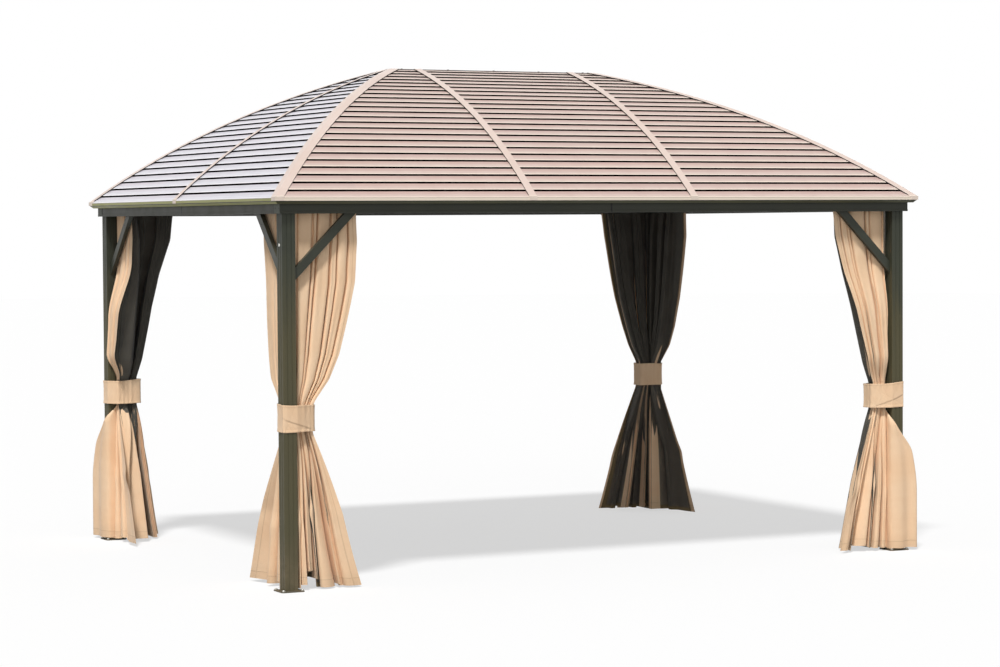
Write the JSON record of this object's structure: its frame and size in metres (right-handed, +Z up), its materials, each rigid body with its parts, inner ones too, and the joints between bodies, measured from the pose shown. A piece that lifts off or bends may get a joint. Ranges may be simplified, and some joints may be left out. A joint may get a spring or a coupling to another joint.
{
  "type": "hardtop garden gazebo",
  "caption": "Open garden gazebo: corner posts, knee braces and a ring beam under a curved hip roof of lapped steel rows, with a curtain tied back at each post.",
  "frame": {"origin": "ground level under the middle of the gazebo", "axes": "+X along the long side, +Y across towards the back, +Z up"},
  "size_m": [4.006, 3.0066, 2.8186],
  "materials": {
    "roof": "satin",
    "roof_cap": "satin",
    "roof_frame": "satin",
    "frame": "satin",
    "rail": "satin",
    "curtain": "matte"
  },
  "bodies": {
    "root": {"beam_back_left": "frame", "beam_back_right": "frame", "beam_end_caps": "frame", "beam_front_left": "frame", "beam_front_right": "frame", "cover_strips": "roof_cap", "curtain_back_left": "curtain", "curtain_back_right": "curtain", "curtain_front_left": "curtain", "curtain_front_right": "curtain", "curtain_rails": "rail", "curtain_ties": "curtain", "eave_trim_back": "frame", "eave_trim_front": "frame", "eave_trim_left": "frame", "eave_trim_right": "frame", "end_beam_left_back": "frame", "end_beam_left_front": "frame", "end_beam_right_back": "frame", "end_beam_right_front": "frame", "end_sheet_left_back": "roof", "end_sheet_left_front": "roof", "end_sheet_right_back": "roof", "end_sheet_right_front": "roof", "foot_plates": "frame", "hip_caps": "roof_cap", "hip_rafters": "roof_frame", "knee_braces_back_left": "frame", "knee_braces_back_right": "frame", "knee_braces_front_left": "frame", "knee_braces_front_right": "frame", "post_back_left": "frame", "post_back_right": "frame", "post_front_left": "frame", "post_front_right": "frame", "rafters": "roof_frame", "ridge_beam": "roof_frame", "ridge_cap": "frame", "roof_sheet_back": "roof", "roof_sheet_back_left": "roof", "roof_sheet_back_right": "roof", "roof_sheet_front": "roof", "roof_sheet_front_left": "roof", "roof_sheet_front_right": "roof"}
  },
  "joints": []
}
